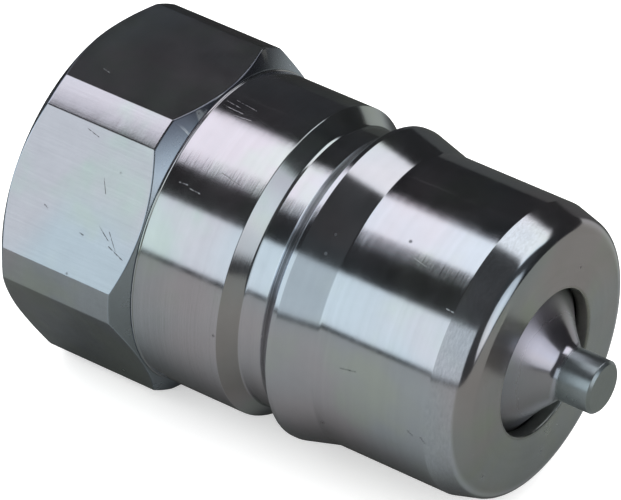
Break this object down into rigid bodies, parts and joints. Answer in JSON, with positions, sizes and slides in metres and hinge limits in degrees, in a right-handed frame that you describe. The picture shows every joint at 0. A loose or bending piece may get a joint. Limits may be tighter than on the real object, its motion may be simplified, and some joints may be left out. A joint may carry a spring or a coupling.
{
  "type": "quick disconnect coupler",
  "caption": "Male half of a hydraulic quick disconnect coupler: hexagon with a threaded port, barrel with a locking groove, plain nose and a spring-loaded poppet valve with a pin.",
  "frame": {"origin": "centre of the flat rear face of the hexagon, where the threaded port opens", "axes": "+X along the coupling's axis from the port to the poppet pin; one hexagon flat faces +Z and one faces -Z"},
  "size_m": [0.0614, 0.0374, 0.034],
  "materials": {
    "nose_body_steel": "bright zinc plated, turned",
    "hex_adapter_steel": "bright zinc plated, drawn hexagon bar with turned ends",
    "seal_rubber": "black nitrile, satin",
    "backup_plastic": "white PTFE",
    "poppet_steel": "bright zinc plated, turned",
    "stem_steel": "ground steel",
    "retainer_steel": "pressed steel, zinc plated",
    "spring_steel": "drawn spring wire with ground ends",
    "guide_steel": "turned and milled steel",
    "ring_steel": "phosphated spring steel"
  },
  "bodies": {
    "body": {"nose_body": "nose_body_steel", "hex_adapter": "hex_adapter_steel", "body_seal_ring": "seal_rubber", "body_backup_ring": "backup_plastic", "valve_guide": "guide_steel", "guide_retaining_ring": "ring_steel", "poppet_spring": "spring_steel"},
    "poppet": {"poppet_head": "poppet_steel", "poppet_seal": "seal_rubber", "seal_retainer": "retainer_steel", "poppet_stem": "stem_steel"}
  },
  "joints": [
    {"name": "poppet_slide", "type": "slide", "parent": "body", "child": "poppet", "axis": [-1, 0, 0], "range_m": [0, 0.0065], "stiffness_N_per_m": 4580, "springref_m": -0.009, "deforming": ["poppet_spring"]}
  ]
}
